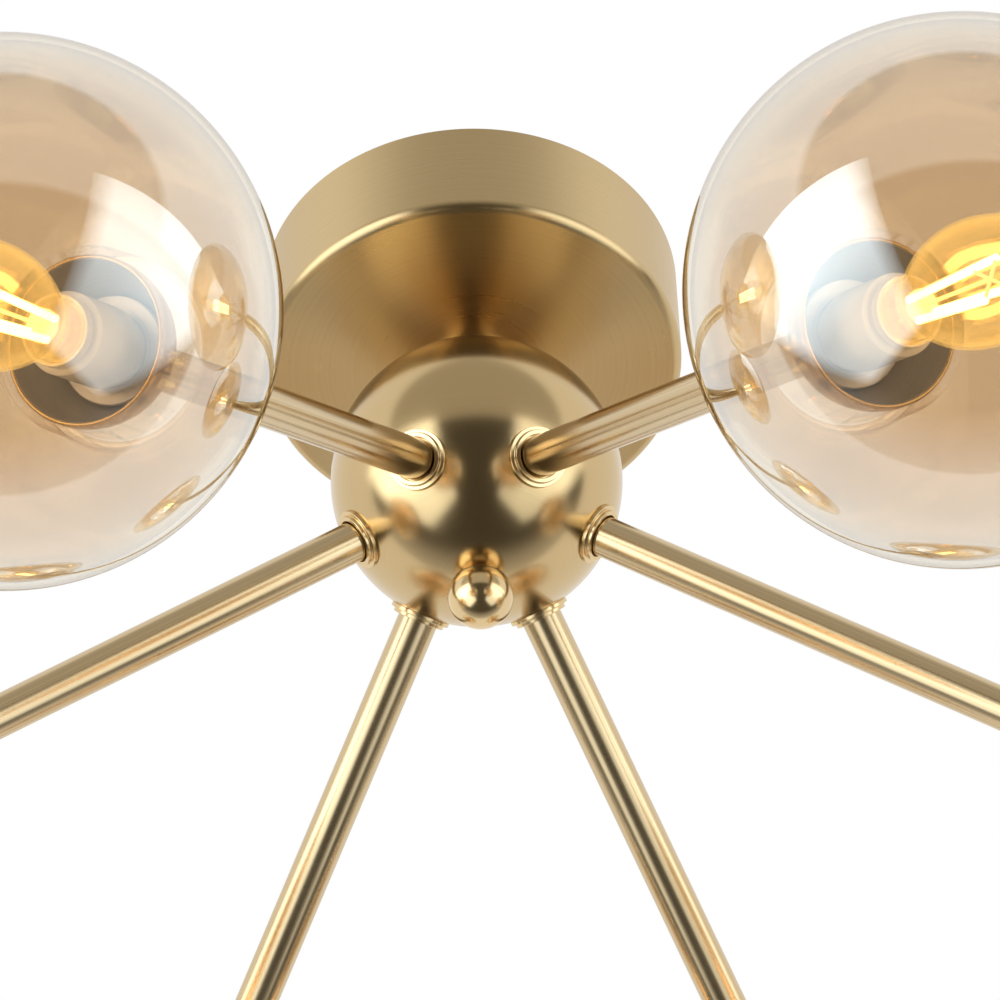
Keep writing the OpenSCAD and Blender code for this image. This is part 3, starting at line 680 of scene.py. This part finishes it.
class CEILING_LIGHT_OT_bulbs(Operator):
    """Add the six candle bulbs: cap and collar, glass and glowing rods"""

    bl_idname = "ceiling_light.add_bulbs"
    bl_label = "Add Bulbs"

    def execute(self, context):
        sizes, colours = settings(context)
        collar = moulded("bulb_collar", colours.bulb_collar, roughness=0.32, coat=0.3)
        # The bulb glass gets a painted glow: its emission stands in for the filaments' light scattered in the glass,
        # which is no lamp itself.
        clear = shell_glass("bulb_glass", (1.0, 0.97, 0.88), (1.0, 0.86, 0.55), facing=0.10, rim=0.38,
                            edge_tint=(1.0, 0.92, 0.72), glow=0.8)
        glow = glowing_rod("filament_glow", colours.filament, strength=9.0)
        # The wire frame is no lamp: its emission is a painted glow, standing in for the filaments' light falling on
        # it.
        wire = glowing_rod("lead_wire_painted_glow", colours.filament, strength=1.6)
        for number in ARMS:
            for name, slot, shape, materials in (
                    ("bulb_cap", "bulb_collar", self.cap(sizes), [collar]),
                    ("bulb_glass", "bulb_glass", self.glass(sizes), [clear]),
                    ("bulb_filament", "filament_glow", self.filament(sizes), [glow, wire])):
                add_piece("%s_%d_turned" % (name, number), moved(shape, arm_place(sizes, number)),
                          "lamp_bulb_%d" % number, materials, ["%s_%d" % (name, number)])
        return {"FINISHED"}

    def cap(self, sizes):
        """The small screw cap with its tip contact, and the collar that holds the glass."""
        start = sizes.bulb_start
        end = start + BULB_COLLAR_HEIGHT
        screw_r = 0.007
        depth = 0.0007
        pitch = 0.0026
        ridges = 6
        points = 6
        tip = start - 0.022
        thread_start = tip + 0.004
        thread = [(screw_r - depth / 2 * (1 - cos(tau * k / points)), thread_start + pitch * k / points)
                  for k in range(ridges * points + 1)]
        contact_r = 0.003
        shoulder_r = 0.006
        collar_r = 0.0095
        seat_r = 0.00865
        chamfer = 0.001
        outline = ([(0, tip), (contact_r, tip), (contact_r, tip + 0.001), (shoulder_r, tip + 0.002)] + thread
                   + [(screw_r, start), (collar_r - chamfer, start), (collar_r, start + chamfer), (collar_r, end),
                      (seat_r, end), (seat_r, end - BULB_SEAT_DEPTH), (0, end - BULB_SEAT_DEPTH)])
        return turn_outline(outline, steps=64, soften=0.0002)

    def glass(self, sizes):
        """The thin envelope and the glass stem that carries the rods."""
        neck_end = sizes.bulb_start + BULB_COLLAR_HEIGHT
        wall = 0.0008
        envelope = envelope_outline(neck_end, 0.0) + envelope_outline(neck_end, wall)[::-1]
        seat = neck_end - BULB_SEAT_DEPTH
        foot_r = 0.00775
        stem_r = 0.003
        stem_end = neck_end + 0.006
        stem = [(0, seat), (foot_r, seat), (foot_r, seat + 0.001), (stem_r, neck_end + 0.001), (stem_r, stem_end),
                (0, stem_end)]
        return join_shapes([(turn_outline(envelope, steps=80, soften=0), Matrix.Identity(4)),
                            (turn_outline(stem, steps=48, soften=0.0004), Matrix.Identity(4))])

    def filament(self, sizes):
        """Four leaning rods on a wire frame."""
        start = sizes.bulb_start + 0.01
        foot = Matrix.Translation((0, 0, start))
        rods = 4
        lean = radians(3)
        length = 0.036
        rod_r = 0.0011
        rounding = 0.0004
        spacing = 0.004
        wire_r = 0.0005
        rise = length * cos(lean)
        top = spacing + length * sin(lean)
        rod = [(0, 0), (rod_r - rounding, 0), (rod_r, rounding), (rod_r, length - rounding),
               (rod_r - rounding, length), (0, length)]
        shapes = []
        for number in range(rods):
            turn = Matrix.Rotation(tau * number / rods, 4, "Z")
            upright = foot @ turn @ Matrix.Translation((spacing, 0, wire_r)) @ Matrix.Rotation(lean, 4, "Y")
            shapes.append((turn_outline(rod, steps=20, soften=0), upright))
            across = Matrix.Translation((0, 0, start + rise)) @ turn @ Matrix.Rotation(pi / 2, 4, "Y")
            shapes.append((self.wire(wire_r, top), across))
        shapes.append((self.wire(wire_r, rise + wire_r), foot))
        shapes.append((self.wire(spacing + wire_r, 2 * wire_r), foot))
        return join_shapes(shapes)

    def wire(self, radius, length):
        """A thin metal part of the rods' frame, with the wire's material, which paints a glow on it though the wire
        is no lamp.
        """
        bm = turn_outline(ring_outline(0, radius, 0, length), steps=16, soften=0.0001)
        for face in bm.faces:
            face.material_index = 1
        return bm


class CEILING_LIGHT_OT_globes(Operator):
    """Add the six half-mirrored amber globes with their in-turned necks"""

    bl_idname = "ceiling_light.add_globes"
    bl_label = "Add Globes"

    def execute(self, context):
        sizes, colours = settings(context)
        amber = shell_glass("amber_glass", colours.amber_tint, colours.mirror_tint, facing=0.28, rim=0.85,
                            edge_tint=(0.64, 0.46, 0.28))
        inner = shell_glass("amber_glass_inside", (0.99, 0.98, 0.97), (1.0, 1.0, 1.0), facing=0.02, rim=0.5,
                            edge_tint=(0.9, 0.8, 0.7))
        for number in ARMS:
            place = arm_place(sizes, number) @ Matrix.Translation((0, 0, sizes.globe_reach))
            add_piece("globe_%d_blown" % number, moved(self.globe(sizes), place), "glass_shade_%d" % number,
                      [amber, inner], ["globe_%d" % number])
        return {"FINISHED"}

    def globe(self, sizes):
        """A thin globe about its own middle, with a rounded lip and a neck that turns inwards.

        Its outer skin has the mirrored amber glass, and its inner skin and neck have the nearly clear one.
        """
        radius = sizes.globe_radius
        wall = sizes.globe_wall
        bore = 0.02258
        lip = 0.0016
        lip_r = bore + lip
        lip_z = -sqrt((radius - lip) ** 2 - lip_r ** 2)
        lip_angle = degrees(atan2(lip_z, lip_r))
        neck_wall = 0.0024
        neck_end = 0.2495 - sizes.globe_reach
        neck_root = -0.0618
        outline = (arc(0, 0, radius, 90, lip_angle, 96) + arc(lip_r, lip_z, lip, lip_angle, -180, 10)
                   + arc(bore + neck_wall / 2, neck_end, neck_wall / 2, 180, 0, 8)
                   + arc(0, 0, radius - wall, degrees(atan2(neck_root, bore + neck_wall)), 90, 90))
        bm = turn_outline(outline, steps=128, soften=0)
        for face in bm.faces:
            face.material_index = 0 if face.calc_center_median().length > radius - wall / 2 else 1
        return bm


class CEILING_LIGHT_OT_fittings(Operator):
    """Finish the bracket, stem, nuts, terminal block and leads inside the canopy"""

    bl_idname = "ceiling_light.finish_fittings"
    bl_label = "Finish Hidden Fittings"

    def execute(self, context):
        colours = context.scene.ceiling_light_colours
        plated = polished_metal("plated_steel", colours.steel, roughness=0.28, haze=0.14)
        for name in ("mounting_bracket", "threaded_stem", "upper_stem_nut", "lower_stem_nut", "hub_lock_nut"):
            finish_node(name, plated)
        finish_node("earth_screw", polished_metal("screw_brass", colours.brass, roughness=0.22, haze=0.1))
        finish_node("terminal_block", moulded("block_plastic", colours.block, roughness=0.42))
        finish_node("wiring_leads", moulded("lead_insulation", colours.insulation, roughness=0.5))
        return {"FINISHED"}


# Stage

def turned_to(direction, about):
    """A direction turned about an axis by an angle, given as (axis, angle)."""
    axis, angle = about
    return Matrix.Rotation(angle, 3, axis) @ direction


def add_lamp(name, azimuth, width, radiance):
    """An upright soft box that faces the hub from an azimuth in degrees: brightest near its top, dark at its foot."""
    height = LAMP_TOP - LAMP_FOOT
    data = bpy.data.lights.new(name, "AREA")
    data.shape = "RECTANGLE"
    data.size = width
    data.size_y = height
    data.energy = LAMP_WATTS_PER_AREA * width * height
    data.color = (0.90, 0.96, 1.0)
    data.use_nodes = True
    tree = data.node_tree
    place = add_node(tree, "ShaderNodeNewGeometry")
    spot = add_node(tree, "ShaderNodeSeparateXYZ", {"Vector": place.outputs["Parametric"]})
    upwards = level_ramp(tree, spot.outputs["Y"], ((0.0, 0.0), (0.12, 0.48), (0.5, 0.52), (0.8, 1.0), (1.0, 0.6)))
    sideways = level_ramp(tree, spot.outputs["X"],
                          ((0.0, 0.1), (0.14, 0.95), (0.5, 1.08), (0.86, 0.95), (1.0, 0.1)))
    strength = maths(tree, "MULTIPLY", maths(tree, "MULTIPLY", upwards, sideways), radiance)
    fill(tree.nodes["Emission"], {"Strength": strength})
    lamp = bpy.data.objects.new(name, data)
    outwards = Vector((cos(radians(azimuth)), sin(radians(azimuth)), 0))
    lamp.location = outwards * LAMP_DISTANCE + Vector((0, 0, (LAMP_TOP + LAMP_FOOT) / 2))
    lamp.rotation_euler = outwards.to_track_quat("Z", "Y").to_euler()
    lamp.visible_camera = False
    bpy.context.scene.collection.objects.link(lamp)


class CEILING_LIGHT_OT_camera(Operator):
    """Set the camera to the photograph's view of the light"""

    bl_idname = "ceiling_light.set_camera"
    bl_label = "Set Camera"

    def execute(self, context):
        below = radians(48.6612)
        yaw = radians(-0.2166)
        pitch = radians(-0.1876)
        roll = radians(1.9495)
        azimuth = radians(-0.8744)
        distance = 1.76806
        offset = Vector((0, -cos(below), -sin(below)))
        forward = -offset
        right = Vector((1, 0, 0))
        for swing in ((right.cross(forward), yaw), (right, pitch)):
            forward, right = turned_to(forward, swing), turned_to(right, swing)
        up = right.cross(forward)
        right, up = turned_to(right, (forward, roll)), turned_to(up, (forward, roll))
        axes = Matrix((right, up, -forward)).transposed().to_4x4()
        hub = Vector((0, 0, -context.scene.ceiling_light_sizes.hub_drop))
        data = bpy.data.cameras.new("Camera")
        data.lens = 216
        data.sensor_width = 36
        data.clip_start = 0.05
        data.clip_end = 60
        camera = bpy.data.objects.new("Camera", data)
        camera.matrix_world = Matrix.Rotation(azimuth, 4, "Z") @ Matrix.Translation(hub + offset * distance) @ axes
        context.scene.collection.objects.link(camera)
        context.scene.camera = camera
        return {"FINISHED"}


class CEILING_LIGHT_OT_stage(Operator):
    """Build the stage: pale floor, white surroundings and soft studio lamps"""

    bl_idname = "ceiling_light.build_stage"
    bl_label = "Build Stage"

    def execute(self, context):
        scene = context.scene
        scene.view_settings.view_transform = "Standard"
        self.add_floor(scene)
        add_lamp("Left soft box", azimuth=211, width=1.58, radiance=2.6)
        add_lamp("Right soft box", azimuth=326.5, width=1.46, radiance=1.8)
        self.surroundings(scene)
        return {"FINISHED"}

    def add_floor(self, scene):
        """A round pale floor, which the light's reflections leave out."""
        bm = bmesh.new()
        bmesh.ops.create_circle(bm, cap_ends=True, segments=96, radius=FLOOR_RADIUS)
        moved(bm, Matrix.Translation((0, 0, FLOOR_HEIGHT)))
        mesh = bpy.data.meshes.new("floor")
        bm.to_mesh(mesh)
        bm.free()
        mesh.materials.append(self.floor_finish(scene.ceiling_light_colours.floor))
        floor = bpy.data.objects.new("floor", mesh)
        floor.visible_glossy = False
        scene.collection.objects.link(floor)

    def floor_finish(self, colour):
        """The floor's finish, lifted towards white for the camera with the object's shadow kept, clear from below."""
        material = moulded("pale_floor", colour, roughness=0.6, grain=60.0)
        tree = material.node_tree
        shader = tree.nodes["Principled BSDF"]
        camera_lift = 0.42
        path = add_node(tree, "ShaderNodeLightPath")
        fill(shader, {"Emission Color": shade(colour),
                      "Emission Strength": maths(tree, "MULTIPLY", path.outputs["Is Camera Ray"], camera_lift)})
        side = add_node(tree, "ShaderNodeNewGeometry")
        mix_shaders(tree, side.outputs["Backfacing"], shader, add_node(tree, "ShaderNodeBsdfTransparent"))
        return material

    def surroundings(self, scene):
        """White behind the light, and for its reflections a bright ceiling and backdrop over a dark room."""
        paper = (0.97, 0.97, 0.96, 1.0)
        front_wall = (0.50, 0.48, 0.44, 1.0)
        dark_room = (0.08, 0.073, 0.06, 1.0)
        backdrop = grey(0.97)
        scattered = grey(0.48)
        backdrop_slope = 1.25
        world = bpy.data.worlds.new("Studio")
        world.use_nodes = True
        scene.world = world
        tree = world.node_tree
        tree.nodes.clear()
        # Tones go by the direction looked in: its depth, positive behind the light, and its height.
        coordinates = add_node(tree, "ShaderNodeTexCoord")
        axes = add_node(tree, "ShaderNodeSeparateXYZ", {"Vector": coordinates.outputs["Generated"]})
        depth, height = axes.outputs["Y"], axes.outputs["Z"]
        behind = maths(tree, "MAXIMUM", depth, 0.0)
        sweep = maths(tree, "MULTIPLY_ADD", behind, backdrop_slope, height)
        overhead = mix_colours(tree, remap(tree, depth, -0.40, -0.46), paper, front_wall)
        glow = maths(tree, "MULTIPLY", remap(tree, sweep, -0.75, 0.06, 0.0, 0.6), remap(tree, depth, 0.0, 0.35))
        underneath = mix_colours(tree, glow, dark_room, backdrop)
        room = mix_colours(tree, remap(tree, sweep, 0.04, 0.09), underneath, overhead)
        path = add_node(tree, "ShaderNodeLightPath")
        lit = mix_colours(tree, path.outputs["Is Glossy Ray"], scattered, room)
        seen = maths(tree, "MAXIMUM", path.outputs["Is Camera Ray"], path.outputs["Is Transmission Ray"])
        background = add_node(tree, "ShaderNodeBackground", {"Color": mix_colours(tree, seen, lit, grey(1.0)),
                                                             "Strength": 1.0})
        output = add_node(tree, "ShaderNodeOutputWorld")
        fill(output, {"Surface": background.outputs["Background"]})


class CEILING_LIGHT_PT_builder(Panel):
    """Shows the light's sizes and colours, and a button for each group of pieces and for the stage"""

    bl_idname = "CEILING_LIGHT_PT_builder"
    bl_label = "Ceiling Light"
    bl_space_type = "VIEW_3D"
    bl_region_type = "UI"
    bl_category = "Ceiling Light"

    def draw(self, context):
        layout = self.layout
        for group in settings(context):
            box = layout.box()
            for name in group.__annotations__:
                box.prop(group, name)
        for operator in OPERATORS:
            layout.operator(operator.bl_idname)


OPERATORS = (CEILING_LIGHT_OT_camera, CEILING_LIGHT_OT_stage, CEILING_LIGHT_OT_canopy, CEILING_LIGHT_OT_hub,
             CEILING_LIGHT_OT_arms, CEILING_LIGHT_OT_cups, CEILING_LIGHT_OT_lampholders, CEILING_LIGHT_OT_bulbs,
             CEILING_LIGHT_OT_globes, CEILING_LIGHT_OT_fittings)
CLASSES = (CeilingLightSizes, CeilingLightColours) + OPERATORS + (CEILING_LIGHT_PT_builder,)


def register():
    """Register the classes and the scene's properties."""
    for item in CLASSES:
        bpy.utils.register_class(item)
    bpy.types.Scene.ceiling_light_sizes = PointerProperty(type=CeilingLightSizes)
    bpy.types.Scene.ceiling_light_colours = PointerProperty(type=CeilingLightColours)


def unregister():
    """Remove the scene's properties and the classes."""
    del bpy.types.Scene.ceiling_light_colours
    del bpy.types.Scene.ceiling_light_sizes
    for item in reversed(CLASSES):
        bpy.utils.unregister_class(item)


def main():
    """Build the whole light by calling the operators in order."""
    register()
    bpy.ops.ceiling_light.set_camera()
    bpy.ops.ceiling_light.build_stage()
    bpy.ops.ceiling_light.add_canopy()
    bpy.ops.ceiling_light.add_hub()
    bpy.ops.ceiling_light.add_arms()
    bpy.ops.ceiling_light.add_cups()
    bpy.ops.ceiling_light.add_lampholders()
    bpy.ops.ceiling_light.add_bulbs()
    bpy.ops.ceiling_light.add_globes()
    bpy.ops.ceiling_light.finish_fittings()


if __name__ == "__main__":
    main()
